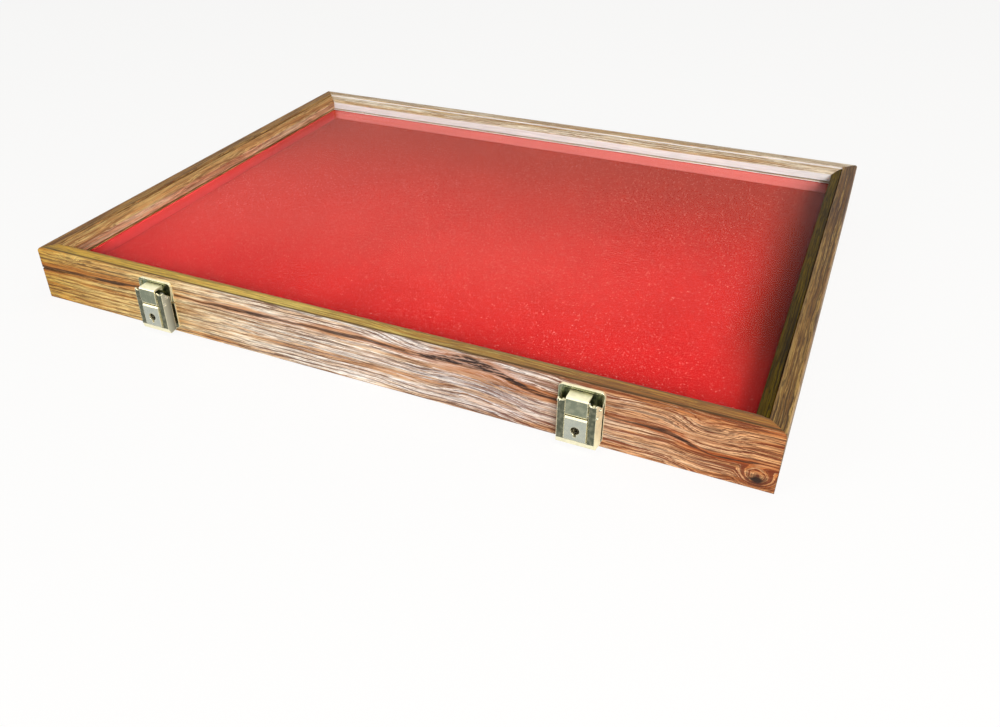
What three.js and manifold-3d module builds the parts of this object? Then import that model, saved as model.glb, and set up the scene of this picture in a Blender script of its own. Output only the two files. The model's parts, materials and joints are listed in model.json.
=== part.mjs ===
// Glass-topped display box: a mitred oak lid and tray, joined by two butt hinges at the
// back and held shut by two key-locking draw latches at the front.
// Millimetres, +Z up. The origin is the centre of the tray's underside; the front is -Y.
import * as THREE from "three";
import { mergeVertices } from "three/addons/utils/BufferGeometryUtils.js";
import Module from "manifold-3d";

const wasm = await Module();
wasm.setup();

// The case: 16 x 12 x 1 1/4 in, sawn apart 3/4 in above the bottom
const boxWidth = 406.4;
const boxDepth = 304.8;
const boxHeight = 31.75;
const seamHeight = 19.05;
const seamGap = 0.3;
const seamEase = 0.3;
const railThickness = 12.7;
const mitreGap = 0.1;
const topRound = 2;
const glueGap = 0.1;
// How far a cutting tool runs past the face that it opens
const past = 1;

// The lid: a flat rim, a rabbet behind it, the pane on the rabbet's ledge and a
// moulded stop on the pane
const rimWidth = 8.3;
const rimEase = 0.4;
const ledgeThickness = 1.75;
const glassThickness = 2;
const glassPlay = 0.5;
const stopWidth = 5.8;
const stopReveal = 1;
const stopDrop = 3;
const stopBulge = 0.7;

// The tray: a bottom let into a rabbet, velvet-covered card strips that line its walls up to
// the pane, and a velvet-covered pad between them
const bottomThickness = 3;
const bottomRabbet = 6.35;
const linerGap = 0.2;
const linerThickness = 0.8;
const linerReveal = 0.3;
const padPlay = 0.3;
const padHeight = 12.2;
const padCrown = 0.8;
const padFlatness = 4;
const velvetThickness = 0.8;
const padColumns = 16;
const padRows = 12;

// Butt hinges, let into the two back rails at the seam
const hingeInset = 76.2;
const hingeWidth = 25.4;
const leafDepth = 7.6;
const leafThickness = 1;
const leafGap = 0.2;
const knuckleRadius = 2.1;
const knuckleStandOff = 0.3;
const knuckleGap = 0.3;
const middleKnuckle = 9.2;
const hingePinRadius = 1;
const runningGap = 0.08;
const mortiseGap = 0.15;
const hingeScrewSpacing = 15;
const hingeScrewSetback = 4;

// Draw latches. Across a latch X runs from its centre; "out" is the distance from the
// wood's front face and "up" the height above the seam, below zero on the tray.
const latchInset = 85;
const plateWidth = 21.2;
const plateThickness = 1;
const plateCorner = 2;
const strikeTop = 11.45;
const strikeRim = 1.2;
const strikeRimHeight = 0.7;
const basePlateBottom = -16.15;
const plateSeamGap = 0.35;
const pinPlay = 0.08;
const leverPin = { out: 4.8, up: 4.95, radius: 0.7 };
const hookPin = { out: 6.35, up: 1.15, radius: 0.65 };
const pinHead = 0.05;
const earSpan = 14.8;
const earThickness = 1;
const earRadius = 1.35;
const earFoot = 6.4;
const earFootReach = 1.8;
const earStandOff = 1.5;
const earTilt = 0.22 * Math.PI;
const leverWidth = 17.6;
const leverSplay = 0.38;
const leverWall = 0.8;
const leverFront = 7.2;
const leverBack = 2.9;
const leverBottom = -16.65;
const leverBevel = { rise: 3, setback: 1.1 };
const leverHeelRise = 1.6;
const leverBorder = 3.5;
const leverSwingGap = 0.2;
const leverTopEase = 0.3;
const leverTopLand = 1;
const scoopRadius = 1.7;
const scoopRise = 0.9;
const tongueWidth = 10;
const tongueFront = 8;
const tongueThickness = 1;
const tongueTop = 9.55;
const tongueStep = 0.2;
const flangeGap = 0.45;
const slotGap = 0.4;
const catchWidth = 8.4;
const catchReach = 1.6;
const catchHeight = 2.6;
const catchGap = 0.3;
const catchToe = 0.9;
const catchNose = 0.1;
const catchBack = 0.65;
const lockTop = -0.65;
const lockBevel = 0.7;
const lockBodyTop = -4.05;
const lockBodyWidth = 14;
const lockBack = 4;
const lockFace = 1.1;
const lockSeatGap = 0.3;
const lockFaceSeat = 0.5;
const keyholeUp = -7.45;
const keyholeRadius = 2.1;
const keySlotWidth = 1.3;
const keySlotDrop = 3.5;
const rotorRadius = 3.2;
const rotorGap = 0.25;
const waistRadius = 1.6;
const keywayDepth = 1.2;
const keywayEdge = 0.5;
const drillRadius = 0.72;
const drillDepth = 1.6;
const tailLength = 5.2;
const tailWidth = 2.6;
const tailThickness = 0.8;
const tailGap = 0.9;
const keeperWidth = 5;
const keeperThickness = 0.7;
const keeperLip = 1.6;
const strikeScrew = { across: 3.2, up: 3.15 };
const baseScrew = { across: 4.4, up: -2.85 };

// Wood screws: a countersunk one for the hinges and a round-headed one for the latches
const hingeScrew = { shank: 0.95, head: 1.75, headHeight: 0.7, length: 7.5, sunk: true };
const latchScrew = { shank: 0.85, head: 1.4, headHeight: 0.7, length: 6, sunk: false };
const screwGap = 0.12;
const screwSides = 14;
// A round head's outline, in shares of its height and radius
const headEdge = 0.35;
const headCrown = { radius: 0.6, height: 0.9 };

const oak = new THREE.MeshStandardMaterial({ color: "#c99a5b", roughness: 0.45, metalness: 0 });
const hardboard = new THREE.MeshStandardMaterial({ color: "#8a6a48", roughness: 0.8, metalness: 0 });
const velvet = new THREE.MeshStandardMaterial({ color: "#c8252f", roughness: 0.95, metalness: 0 });
const foam = new THREE.MeshStandardMaterial({ color: "#e8e4d8", roughness: 0.9, metalness: 0 });
const clearGlass = new THREE.MeshStandardMaterial({
  color: "#eef4f2",
  roughness: 0.05,
  metalness: 0,
  transparent: true,
  opacity: 0.25,
});
const nickel = new THREE.MeshStandardMaterial({ color: "#c9c6b4", roughness: 0.22, metalness: 1 });
const steel = new THREE.MeshStandardMaterial({ color: "#a9a9a6", roughness: 0.35, metalness: 1 });

// Solids and meshes

const weldDistance = 1e-4;

function solid(geometry) {
  const bare = geometry.clone();
  bare.deleteAttribute("normal");
  bare.deleteAttribute("uv");
  const merged = mergeVertices(bare, weldDistance);
  return new wasm.Manifold(
    new wasm.Mesh({
      numProp: 3,
      vertProperties: new Float32Array(merged.attributes.position.array),
      triVerts: new Uint32Array(merged.index.array),
    }),
  );
}

function geometryOf(body) {
  const mesh = body.getMesh();
  const geometry = new THREE.BufferGeometry();
  geometry.setAttribute("position", new THREE.BufferAttribute(mesh.vertProperties, 3));
  geometry.setIndex(new THREE.BufferAttribute(mesh.triVerts, 1));
  const faceted = geometry.toNonIndexed();
  faceted.computeVertexNormals();
  return faceted;
}

function join(...geometries) {
  return geometryOf(geometries.map(solid).reduce((whole, piece) => whole.add(piece)));
}

function cut(geometry, ...tools) {
  return geometryOf(tools.map(solid).reduce((rest, tool) => rest.subtract(tool), solid(geometry)));
}

function piece(name, geometry, material) {
  const mesh = new THREE.Mesh(geometry, material);
  mesh.name = name;
  return mesh;
}

function polygon(points) {
  return new THREE.Shape(points.map(([a, b]) => new THREE.Vector2(a, b)));
}

function block(low, high) {
  const size = high.map((value, axis) => value - low[axis]);
  const box = new THREE.BoxGeometry(...size);
  return box.translate(...low.map((value, axis) => value + size[axis] / 2));
}

function extrude(shape, depth, curveSegments = 6) {
  return new THREE.ExtrudeGeometry(shape, { depth, curveSegments, bevelEnabled: false });
}

// A cylinder along X, centred on its length
function bar(radius, length, sides = 24) {
  return new THREE.CylinderGeometry(radius, radius, length, sides).rotateZ(Math.PI / 2);
}

// A screw on +Y with its head's seat at the origin; grow makes the hole that it goes in
function screwShape({ shank, head, headHeight, length, sunk }, grow = 0) {
  const tip = length - 2 * shank;
  const low = sunk ? -headHeight : 0;
  const rim = sunk ? 0 : headHeight;
  const outline = [[0, -length - grow], [shank + grow, -tip], [shank + grow, low - grow]];
  if (sunk) outline.push([head + grow, 0], [head + grow, grow * 2], [0, grow * 2]);
  else {
    const crown = [head * headCrown.radius, rim * headCrown.height];
    outline.push([head, low - grow], [head, rim * headEdge], crown, [0, rim]);
  }
  const points = outline.map(([radius, height]) => new THREE.Vector2(radius, height));
  return new THREE.LatheGeometry(points, screwSides);
}

// Rails, stops and the pane

const seamTop = seamHeight + seamGap / 2;
const seamBottom = seamHeight - seamGap / 2;
const ledgeTop = seamTop + ledgeThickness;
const glassBottom = ledgeTop + glueGap;
const glassTop = glassBottom + glassThickness;
const stopInner = rimWidth + stopWidth;
const stopTop = boxHeight - stopReveal;

// A profile is drawn in (distance in from the outer face, height). It runs along X with its
// outer face at -Y, and both ends are mitred in step with that distance.
function mitred(profile, length, span, curveSegments) {
  const geometry = extrude(profile, length, curveSegments);
  const { position } = geometry.attributes;
  for (let i = 0; i < position.count; i += 1) {
    const inward = position.getX(i);
    const height = position.getY(i);
    const side = position.getZ(i) > length / 2 ? 1 : -1;
    const end = length / 2 - inward - mitreGap / 2;
    position.setXYZ(i, side * end, inward - span / 2, height);
  }
  return geometry;
}

function lidProfile() {
  const shape = new THREE.Shape();
  shape.moveTo(seamEase, seamTop);
  shape.lineTo(railThickness, seamTop);
  shape.lineTo(railThickness, ledgeTop);
  shape.lineTo(rimWidth, ledgeTop);
  shape.lineTo(rimWidth, boxHeight - rimEase);
  shape.lineTo(rimWidth - rimEase, boxHeight);
  shape.lineTo(topRound, boxHeight);
  shape.absarc(topRound, boxHeight - topRound, topRound, Math.PI / 2, Math.PI, false);
  shape.lineTo(0, seamTop + seamEase);
  return shape;
}

function stopProfile() {
  const outer = rimWidth + glueGap;
  const shoulder = stopTop - stopDrop;
  const bulge = { across: (outer + stopInner) / 2 + stopBulge, up: (shoulder + stopTop) / 2 + stopBulge };
  const shape = new THREE.Shape();
  shape.moveTo(outer, glassTop + glueGap);
  shape.lineTo(stopInner, glassTop + glueGap);
  shape.lineTo(stopInner, shoulder);
  shape.quadraticCurveTo(bulge.across, bulge.up, outer + rimEase, stopTop);
  shape.lineTo(outer, stopTop - rimEase);
  return shape;
}

function trayProfile() {
  const rabbetTop = bottomThickness + glueGap;
  return polygon([
    [seamEase, 0],
    [bottomRabbet, 0],
    [bottomRabbet, rabbetTop],
    [railThickness, rabbetTop],
    [railThickness, seamBottom],
    [seamEase, seamBottom],
    [0, seamBottom - seamEase],
    [0, seamEase],
  ]);
}

function linerProfile() {
  const outer = railThickness + linerGap;
  const inner = outer + linerThickness;
  const low = bottomThickness + glueGap;
  const high = glassBottom - linerReveal;
  const shape = new THREE.Shape();
  shape.moveTo(outer, low);
  shape.lineTo(inner, low);
  shape.lineTo(inner, high - linerThickness);
  shape.absarc(outer, high - linerThickness, linerThickness, 0, Math.PI / 2, false);
  return shape;
}

const sides = {
  front: { length: boxWidth, span: boxDepth, turn: 0 },
  right: { length: boxDepth, span: boxWidth, turn: Math.PI / 2 },
  back: { length: boxWidth, span: boxDepth, turn: Math.PI },
  left: { length: boxDepth, span: boxWidth, turn: -Math.PI / 2 },
};

// Four mitred lengths of one profile; cutters holds the tools for a side's own cuts
function frame(label, profile, material, cutters = {}) {
  return Object.entries(sides).map(([side, { length, span, turn }]) => {
    const plain = mitred(profile, length, span);
    const tools = cutters[side] ?? [];
    const mesh = piece(label(side), tools.length ? cut(plain, ...tools) : plain, material);
    mesh.rotation.z = turn;
    return mesh;
  });
}

function glassPane() {
  const width = boxWidth - 2 * (rimWidth + glassPlay);
  const depth = boxDepth - 2 * (rimWidth + glassPlay);
  return block([-width / 2, -depth / 2, glassBottom], [width / 2, depth / 2, glassTop]);
}

function bottomPanel() {
  const width = boxWidth - 2 * (bottomRabbet + glueGap);
  const depth = boxDepth - 2 * (bottomRabbet + glueGap);
  return block([-width / 2, -depth / 2, 0], [width / 2, depth / 2, bottomThickness]);
}

// A pad with vertical sides and a top that swells from its edges to a broad flat crown
function crowned(width, depth, bottom, edge) {
  const geometry = new THREE.BoxGeometry(width, depth, 1, padColumns, padRows, 1);
  const { position } = geometry.attributes;
  for (let i = 0; i < position.count; i += 1) {
    const across = Math.abs((2 * position.getX(i)) / width) ** padFlatness;
    const along = Math.abs((2 * position.getY(i)) / depth) ** padFlatness;
    const top = edge + padCrown * (1 - across) * (1 - along);
    position.setZ(i, position.getZ(i) > 0 ? top : bottom);
  }
  return geometry;
}

function padPieces() {
  const inset = railThickness + linerGap + linerThickness + padPlay;
  const width = boxWidth - 2 * inset;
  const depth = boxDepth - 2 * inset;
  const bottom = bottomThickness + padPlay;
  const edge = bottom + padHeight;
  const skin = velvetThickness;
  const hollow = crowned(width - 2 * skin, depth - 2 * skin, bottom - past, edge - skin);
  const core = skin + padPlay;
  return [
    piece("velvet_cover", cut(crowned(width, depth, bottom, edge), hollow), velvet),
    piece("foam_pad", crowned(width - 2 * core, depth - 2 * core, bottom, edge - core), foam),
  ];
}

// Hinges. The pin's axis lies at the seam, just behind the back face.

const pinSetback = knuckleRadius + knuckleStandOff;

function leaf(above, name) {
  const face = seamHeight + (above ? leafGap / 2 : -leafGap / 2);
  const back = face + (above ? leafThickness : -leafThickness);
  const [low, high] = [Math.min(face, back), Math.max(face, back)];
  const rear = boxDepth / 2;
  const plate = block([-hingeWidth / 2, rear - leafDepth, low], [hingeWidth / 2, rear, high]);
  const outerLength = (hingeWidth - middleKnuckle) / 2 - knuckleGap;
  const outerCentre = (hingeWidth - outerLength) / 2;
  const stations = above
    ? [{ centre: 0, length: middleKnuckle }]
    : [-outerCentre, outerCentre].map((centre) => ({ centre, length: outerLength }));
  const knuckles = stations.flatMap(({ centre, length }) => [
    bar(knuckleRadius, length).translate(centre, rear + pinSetback, seamHeight),
    block([centre - length / 2, rear - leafDepth / 2, low], [centre + length / 2, rear + pinSetback, high]),
  ]);
  const bore = bar(hingePinRadius + runningGap, 2 * hingeWidth).translate(0, rear + pinSetback, seamHeight);
  const holes = hingeScrewPlaces(above).map((place) => sunkScrew(place, screwGap));
  return piece(name, cut(join(plate, ...knuckles), bore, ...holes), nickel);
}

function hingeScrewPlaces(above) {
  const face = seamHeight + (above ? leafGap / 2 : -leafGap / 2);
  return [-1, 1].map((side) => ({
    x: (side * hingeScrewSpacing) / 2,
    y: boxDepth / 2 - hingeScrewSetback,
    z: face,
    above,
  }));
}

function sunkScrew({ x, y, z, above }, grow = 0) {
  const shape = screwShape(hingeScrew, grow);
  return shape.rotateX(above ? -Math.PI / 2 : Math.PI / 2).translate(x, y, z);
}

function hinge(side, x) {
  const group = new THREE.Group();
  group.position.x = x;
  group.add(leaf(false, `${side}_hinge_tray_leaf`), leaf(true, `${side}_hinge_lid_leaf`));
  const pin = bar(hingePinRadius, hingeWidth + 2 * knuckleGap);
  group.add(piece(`${side}_hinge_pin`, pin.translate(0, boxDepth / 2 + pinSetback, seamHeight), steel));
  for (const above of [false, true]) {
    hingeScrewPlaces(above).forEach((place, index) => {
      const name = `${side}_hinge_${above ? "lid" : "tray"}_screw_${index + 1}`;
      group.add(piece(name, sunkScrew(place), steel));
    });
  }
  return group;
}

// The mortises and screw holes of both hinges in one back rail. The rail is made at the
// front and turned half round, so the tools are turned with it.
function hingeCuts(above) {
  const rear = boxDepth / 2;
  const reach = leafThickness + leafGap / 2 + mortiseGap;
  const low = seamHeight - (above ? past : reach);
  const high = seamHeight + (above ? reach : past);
  const half = hingeWidth / 2 + mortiseGap;
  return [-1, 1].flatMap((side) => {
    const centre = side * (boxWidth / 2 - hingeInset);
    const front = rear - leafDepth - mortiseGap;
    const mortise = block([centre - half, front, low], [centre + half, rear + past, high]);
    const holes = hingeScrewPlaces(above).map((place) => sunkScrew(place, screwGap).translate(centre, 0, 0));
    return [mortise, ...holes].map((tool) => tool.rotateZ(Math.PI));
  });
}

// Latches. A side view is drawn in (out, up) and runs across X; a front view is drawn in
// (across, up) and runs outward.

function across(shape, width, centre = 0, curveSegments = 5) {
  const view = new THREE.Matrix4().makeBasis(
    new THREE.Vector3(0, -1, 0),
    new THREE.Vector3(0, 0, 1),
    new THREE.Vector3(-1, 0, 0),
  );
  return extrude(shape, width, curveSegments).applyMatrix4(view).translate(centre + width / 2, 0, 0);
}

function outward(shape, from, to, curveSegments = 5) {
  const view = new THREE.Matrix4().makeBasis(
    new THREE.Vector3(1, 0, 0),
    new THREE.Vector3(0, 0, 1),
    new THREE.Vector3(0, -1, 0),
  );
  return extrude(shape, to - from, curveSegments).applyMatrix4(view).translate(0, -from, 0);
}

function latchBlock(halfWidth, outs, ups) {
  return block([-halfWidth, -outs[1], ups[0]], [halfWidth, -outs[0], ups[1]]);
}

function crossPin({ out, up, radius }, length, sides = 20) {
  return bar(radius, length, sides).translate(0, -out, up);
}

function grown(pin, by) {
  return { ...pin, radius: pin.radius + by };
}

// The base plate ends just short of the tray's upper edge
const trayEdge = -seamGap / 2;
const basePlateTop = trayEdge - plateSeamGap;

// A turned piece on an axis that points outward at the keyhole's height
function turned(radius, from, to, turns = 24) {
  const drum = new THREE.CylinderGeometry(radius, radius, to - from, turns);
  return drum.translate(0, -(from + to) / 2, keyholeUp);
}

function roundedPlate(low, high, atTop) {
  const half = plateWidth / 2;
  const r = plateCorner;
  const shape = new THREE.Shape();
  if (atTop) {
    shape.moveTo(-half, low);
    shape.lineTo(half, low);
    shape.lineTo(half, high - r);
    shape.absarc(half - r, high - r, r, 0, Math.PI / 2, false);
    shape.absarc(-half + r, high - r, r, Math.PI / 2, Math.PI, false);
  } else {
    shape.moveTo(half, high);
    shape.lineTo(-half, high);
    shape.lineTo(-half, low + r);
    shape.absarc(-half + r, low + r, r, Math.PI, 1.5 * Math.PI, false);
    shape.absarc(half - r, low + r, r, 1.5 * Math.PI, 2 * Math.PI, false);
  }
  return outward(shape, glueGap, plateThickness);
}

// The strike plate's raised border, along its top and down both sides
function raisedRim(low, high) {
  const half = plateWidth / 2;
  const r = plateCorner;
  const inner = r - strikeRim;
  const shape = new THREE.Shape();
  shape.moveTo(half, low);
  shape.absarc(half - r, high - r, r, 0, Math.PI / 2, false);
  shape.absarc(-half + r, high - r, r, Math.PI / 2, Math.PI, false);
  shape.lineTo(-half, low);
  shape.lineTo(-half + strikeRim, low);
  shape.absarc(-half + r, high - r, inner, Math.PI, Math.PI / 2, true);
  shape.absarc(half - r, high - r, inner, Math.PI / 2, 0, true);
  shape.lineTo(half - strikeRim, low);
  return outward(shape, plateThickness / 2, plateThickness + strikeRimHeight);
}

function latchScrewPlaces({ across: offset, up }) {
  return [-1, 1].map((side) => ({ x: side * offset, up }));
}

function frontScrew({ x, up }, grow = 0) {
  const seat = plateThickness + glueGap;
  return screwShape(latchScrew, grow).rotateX(Math.PI).translate(x, -seat, up);
}

const catchTop = tongueTop - tongueThickness - catchGap;

function strikePlate(name) {
  const plate = roundedPlate(plateSeamGap, strikeTop, true);
  const rim = raisedRim(plateSeamGap, strikeTop);
  const root = plateThickness / 2;
  const tip = plateThickness + catchReach;
  const hook = new THREE.Shape();
  hook.moveTo(root, catchTop - catchHeight);
  hook.lineTo(tip, catchTop - catchToe);
  hook.quadraticCurveTo(tip + catchNose, catchTop, tip - catchBack, catchTop);
  hook.lineTo(root, catchTop);
  const holes = latchScrewPlaces(strikeScrew).map((place) => frontScrew(place, screwGap));
  return piece(name, cut(join(plate, rim, across(hook, catchWidth)), ...holes), nickel);
}

// The ears stand out from the base plate, reach over the seam and carry the lever's pin
function ear(centre) {
  const root = plateThickness / 2;
  const shape = new THREE.Shape();
  shape.moveTo(root, trayEdge - earFoot);
  shape.lineTo(earFootReach, trayEdge - earFoot);
  shape.absarc(leverPin.out, leverPin.up, earRadius, -earTilt, Math.PI - earTilt, false);
  shape.lineTo(earStandOff, plateSeamGap);
  shape.lineTo(earStandOff, basePlateTop);
  shape.lineTo(root, basePlateTop);
  return across(shape, earThickness, centre);
}

function basePlate(name) {
  const plate = roundedPlate(basePlateBottom, basePlateTop, false);
  const earCentre = (earSpan - earThickness) / 2;
  const tailFront = plateThickness + tailGap + tailThickness;
  const lipBack = tailFront + rotorGap;
  const shelfTop = keyholeUp - tailLength - rotorGap;
  const keeper = polygon([
    [plateThickness / 2, shelfTop - keeperThickness],
    [lipBack + keeperThickness, shelfTop - keeperThickness],
    [lipBack + keeperThickness, shelfTop + keeperLip],
    [lipBack, shelfTop + keeperLip],
    [lipBack, shelfTop],
    [plateThickness / 2, shelfTop],
  ]);
  const solidPlate = join(plate, ear(-earCentre), ear(earCentre), across(keeper, keeperWidth));
  const bore = crossPin(grown(leverPin, pinPlay), plateWidth);
  const holes = latchScrewPlaces(baseScrew).map((place) => frontScrew(place, screwGap));
  return piece(name, cut(solidPlate, bore, ...holes), nickel);
}

// A side view drawn across a width at the lever's front and splayed outward towards the wood
function splayed(shape, width) {
  const geometry = across(shape, width);
  const { position } = geometry.attributes;
  for (let i = 0; i < position.count; i += 1) {
    const spread = leverSplay * (leverFront + position.getY(i));
    position.setX(i, position.getX(i) + Math.sign(position.getX(i)) * spread);
  }
  return geometry;
}

// The lever is a pressed shell with splayed side walls and a face that slants back along its
// lower end. Its top stays inside the circle that clears the strike plate.
function lever(name) {
  const swing = leverPin.out - plateThickness - leverSwingGap;
  const top = leverPin.up + Math.sqrt(swing ** 2 - (leverFront - leverPin.out) ** 2);
  const over = top + past;
  const heel = leverFront - leverBevel.setback;
  const sole = (out) => leverBottom + (leverHeelRise * (heel - out)) / (heel - leverBack);
  const bevelTop = leverBottom + leverBevel.rise;
  const side = polygon([
    [leverBack, sole(leverBack)],
    [heel, leverBottom],
    [leverFront, bevelTop],
    [leverFront, top - leverTopEase],
    [leverFront - leverTopEase, top],
    [leverFront - leverTopLand, top],
    [leverBack, leverPin.up - leverTopEase],
  ]);
  const inside = polygon([
    [0, sole(0) + leverWall],
    [heel - leverWall, sole(heel - leverWall) + leverWall],
    [leverFront - leverWall, bevelTop],
    [leverFront - leverWall, over],
    [0, over],
  ]);
  const hollow = splayed(inside, leverWidth - 2 * leverWall);
  const windowHalf = tongueWidth / 2 + slotGap;
  const windowOuts = [leverFront - 2 * leverWall, leverFront + past];
  const front = latchBlock(windowHalf, windowOuts, [leverBottom + leverBorder, over]);
  const scoopAt = (windowHalf + leverWidth / 2) / 2;
  const scoops = [-1, 1].map((sign) => {
    const round = new THREE.CylinderGeometry(scoopRadius, scoopRadius, 4 * leverFront, 16);
    return round.translate(sign * scoopAt, 0, top + scoopRise);
  });
  const bores = [leverPin, hookPin].map((pin) => crossPin(grown(pin, pinPlay), 2 * leverWidth));
  return piece(name, cut(splayed(side, leverWidth), hollow, front, ...scoops, ...bores), nickel);
}

// The tongue: a knuckle on the hook pin, a flat face and a flange that lies over the catch
function tongue(name) {
  const knuckle = tongueFront - tongueStep - hookPin.out;
  const inner = tongueFront - tongueThickness;
  const flangeEnd = plateThickness + flangeGap;
  const shape = new THREE.Shape();
  shape.moveTo(inner, hookPin.up);
  shape.lineTo(tongueFront - tongueStep, hookPin.up);
  shape.lineTo(tongueFront, hookPin.up + knuckle);
  shape.lineTo(tongueFront, tongueTop - tongueThickness);
  shape.absarc(tongueFront - tongueThickness, tongueTop - tongueThickness, tongueThickness, 0, Math.PI / 2);
  shape.lineTo(flangeEnd, tongueTop);
  shape.lineTo(flangeEnd, tongueTop - tongueThickness);
  shape.lineTo(inner, tongueTop - tongueThickness);
  const body = join(across(shape, tongueWidth), crossPin({ ...hookPin, radius: knuckle }, tongueWidth));
  return piece(name, cut(body, crossPin(grown(hookPin, pinPlay), plateWidth)), nickel);
}

function lockCase(name) {
  const halfFace = tongueWidth / 2 + slotGap - lockSeatGap;
  const low = leverBottom + leverBorder + lockSeatGap;
  const behind = leverFront - leverWall - lockSeatGap;
  const face = polygon([
    [behind - lockFaceSeat, low],
    [tongueFront, low],
    [tongueFront, lockTop - lockBevel],
    [tongueFront - lockBevel, lockTop],
    [tongueFront - lockFace, lockTop],
    [tongueFront - lockFace, lockBodyTop],
    [behind - lockFaceSeat, lockBodyTop],
  ]);
  const body = latchBlock(lockBodyWidth / 2, [lockBack, behind], [low, lockBodyTop]);
  const room = turned(rotorRadius + rotorGap, lockBack - past, tongueFront - lockFace);
  const hole = turned(keyholeRadius, lockBack, tongueFront + past);
  const slotUps = [keyholeUp - keySlotDrop, keyholeUp];
  const slot = latchBlock(keySlotWidth / 2, [lockBack, tongueFront + past], slotUps);
  return piece(name, cut(join(across(face, 2 * halfFace), body), room, hole, slot), nickel);
}

// The cam: a rotor behind the keyhole, with a keyway and a drilling for the key's tip, and a
// tail that turns down behind the base plate's keeper. It is made unlocked, tail sideways.
function lockCam(name) {
  const tailBack = plateThickness + tailGap;
  const front = tongueFront - lockFace - rotorGap;
  const rotor = turned(rotorRadius, tailBack, front);
  const collar = turned(rotorRadius + past, tailBack + tailThickness, lockBack + rotorGap);
  const waist = cut(collar, turned(waistRadius, 0, front));
  const tailUps = [-tailWidth / 2, tailWidth / 2].map((half) => keyholeUp + half);
  const tail = block([0, -tailBack - tailThickness, tailUps[0]], [tailLength, -tailBack, tailUps[1]]);
  const keywayUps = [keyholeUp - rotorRadius + keywayEdge, keyholeUp];
  const keyway = latchBlock(keySlotWidth / 2, [front - keywayDepth, front + past], keywayUps);
  const drilling = turned(drillRadius, front - drillDepth, front + past);
  return piece(name, cut(join(cut(rotor, waist), tail), keyway, drilling), steel);
}

function latch(side, x) {
  const group = new THREE.Group();
  group.position.set(x, -boxDepth / 2, seamHeight);
  const pinLength = ({ out }) => leverWidth + 2 * leverSplay * (leverFront - out) + 2 * pinHead;
  group.add(strikePlate(`${side}_strike_plate`), basePlate(`${side}_latch_base`));
  group.add(lever(`${side}_latch_lever`), tongue(`${side}_latch_tongue`));
  group.add(lockCase(`${side}_lock_case`), lockCam(`${side}_lock_cam`));
  group.add(piece(`${side}_lever_pin`, crossPin(leverPin, pinLength(leverPin)), steel));
  group.add(piece(`${side}_tongue_pin`, crossPin(hookPin, pinLength(hookPin)), steel));
  const screws = { strike: strikeScrew, base: baseScrew };
  for (const [label, at] of Object.entries(screws)) {
    latchScrewPlaces(at).forEach((place, index) => {
      group.add(piece(`${side}_${label}_screw_${index + 1}`, frontScrew(place), steel));
    });
  }
  return group;
}

// The screw holes of both latches in one front rail
function latchCuts(at) {
  return [-1, 1].flatMap((side) =>
    latchScrewPlaces(at).map((place) => {
      const centre = side * (boxWidth / 2 - latchInset);
      return frontScrew(place, screwGap).translate(centre, -boxDepth / 2, seamHeight);
    }),
  );
}

const box = new THREE.Group();
const trayCuts = { front: latchCuts(baseScrew), back: hingeCuts(false) };
const lidCuts = { front: latchCuts(strikeScrew), back: hingeCuts(true) };
box.add(...frame((side) => `tray_${side}_rail`, trayProfile(), oak, trayCuts));
box.add(piece("tray_bottom", bottomPanel(), hardboard), ...padPieces());
box.add(...frame((side) => `${side}_liner`, linerProfile(), velvet));
box.add(...frame((side) => `lid_${side}_rail`, lidProfile(), oak, lidCuts));
box.add(...frame((side) => `${side}_glass_stop`, stopProfile(), oak));
box.add(piece("glass_pane", glassPane(), clearGlass));
box.add(hinge("left", hingeInset - boxWidth / 2), hinge("right", boxWidth / 2 - hingeInset));
box.add(latch("left", latchInset - boxWidth / 2), latch("right", boxWidth / 2 - latchInset));

export default box;
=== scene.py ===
"""Dresses the display box: oak, velvet, glass and plated latches, with a plain studio round it."""

import json
import math

import bpy
from mathutils import Matrix, Vector, noise


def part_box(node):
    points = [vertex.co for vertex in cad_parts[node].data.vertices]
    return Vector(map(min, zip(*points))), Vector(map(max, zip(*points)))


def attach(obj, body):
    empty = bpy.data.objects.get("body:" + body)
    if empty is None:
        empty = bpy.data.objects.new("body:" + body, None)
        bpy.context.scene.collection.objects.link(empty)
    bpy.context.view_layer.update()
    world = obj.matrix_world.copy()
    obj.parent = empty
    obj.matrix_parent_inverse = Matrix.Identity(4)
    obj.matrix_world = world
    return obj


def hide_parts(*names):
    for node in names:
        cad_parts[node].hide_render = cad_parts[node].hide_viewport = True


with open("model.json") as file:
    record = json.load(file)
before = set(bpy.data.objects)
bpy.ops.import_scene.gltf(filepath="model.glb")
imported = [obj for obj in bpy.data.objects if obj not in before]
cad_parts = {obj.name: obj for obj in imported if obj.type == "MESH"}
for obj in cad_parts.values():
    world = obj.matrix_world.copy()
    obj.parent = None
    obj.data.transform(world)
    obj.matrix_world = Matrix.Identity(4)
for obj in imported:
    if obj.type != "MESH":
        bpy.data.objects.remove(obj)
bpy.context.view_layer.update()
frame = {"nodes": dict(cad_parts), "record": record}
nodes = frame["nodes"]

# The case in metres, as the frame has it
WIDTH, DEPTH = 0.4064, 0.3048
SEAM = 0.01905
FRONT = -DEPTH / 2
SIDES = ("left", "right")

# The camera in the photograph's frame: place, aim in degrees and lens in pixels
IMAGE = (1000, 727)
CAMERA_AT = (0.20682, -0.45753, 0.25973)
CAMERA_AIM = {"azimuth": -25.71, "down": 33.02, "roll": -1.02}
FOCAL_PIXELS = 897.5
IMAGE_CENTRE = (460.7, 338.9)
SENSOR_WIDTH = 36


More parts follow.
